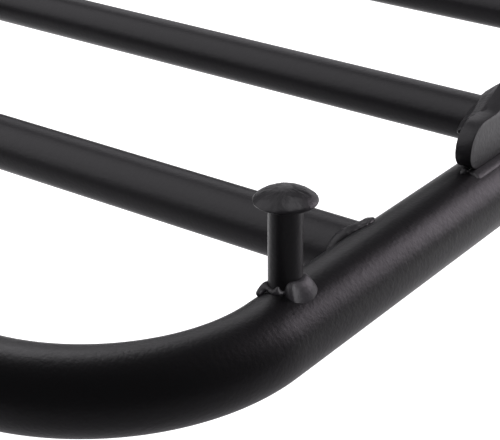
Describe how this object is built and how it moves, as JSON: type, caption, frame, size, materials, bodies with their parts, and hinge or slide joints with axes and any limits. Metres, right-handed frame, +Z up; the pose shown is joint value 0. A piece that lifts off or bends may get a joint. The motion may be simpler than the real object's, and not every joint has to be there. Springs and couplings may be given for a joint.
{
  "type": "folding luggage rack",
  "caption": "Black tube luggage rack with rounded rear corners, cross tubes and strap pegs, folding up about a front hinge on a bolt-down base plate.",
  "frame": {"origin": "middle of the base plate's flat underside, straight below the hinge axis; the underside bolts to whatever carries the rack", "axes": "+X across the rack to its right, +Y forward from the rounded rear end to the hinge, +Z up with the rack folded down"},
  "size_m": [0.302, 0.4591, 0.0817],
  "materials": {
    "powder_coat": "satin black powder coat, fine texture",
    "black_plastic": "matte moulded",
    "nylon": "natural nylon",
    "zinc_plate": "bright zinc plated",
    "black_rubber": "matte rubber"
  },
  "bodies": {
    "base": {"base_plate": "powder_coat", "hinge_bracket_left": "powder_coat", "hinge_bracket_right": "powder_coat", "pivot_bolt_left": "zinc_plate", "pivot_bolt_right": "zinc_plate", "pivot_washer_left": "zinc_plate", "pivot_washer_right": "zinc_plate", "bracket_screw_left_rear": "zinc_plate", "bracket_screw_left_front": "zinc_plate", "bracket_screw_right_rear": "zinc_plate", "bracket_screw_right_front": "zinc_plate", "rest_buffer_left": "black_rubber", "rest_buffer_right": "black_rubber"},
    "rack": {"outer_rail": "powder_coat", "cross_tube_rear": "powder_coat", "cross_tube_second": "powder_coat", "cross_tube_third": "powder_coat", "cross_tube_front": "powder_coat", "side_plate_left": "powder_coat", "side_plate_right": "powder_coat", "tie_down_peg_rear_left": "powder_coat", "tie_down_peg_rear_right": "powder_coat", "tie_down_peg_front_left": "powder_coat", "tie_down_peg_front_right": "powder_coat", "rail_end_cap_left": "black_plastic", "rail_end_cap_right": "black_plastic", "pivot_bush_left": "nylon", "pivot_bush_right": "nylon"},
    "knob_left": {"clamp_knob_left": "black_plastic"},
    "knob_right": {"clamp_knob_right": "black_plastic"}
  },
  "joints": [
    {"name": "rack_fold", "type": "hinge", "parent": "base", "child": "rack", "pos_m": [0, 0, 0.056], "axis": [-1, 0, 0], "range_deg": [0, 90]},
    {"name": "knob_left_turn", "type": "hinge", "parent": "base", "child": "knob_left", "pos_m": [-0.13, 0, 0.056], "axis": [1, 0, 0], "range_deg": [0, 360]},
    {"name": "knob_right_turn", "type": "hinge", "parent": "base", "child": "knob_right", "pos_m": [0.13, 0, 0.056], "axis": [1, 0, 0], "range_deg": [0, 360]}
  ]
}
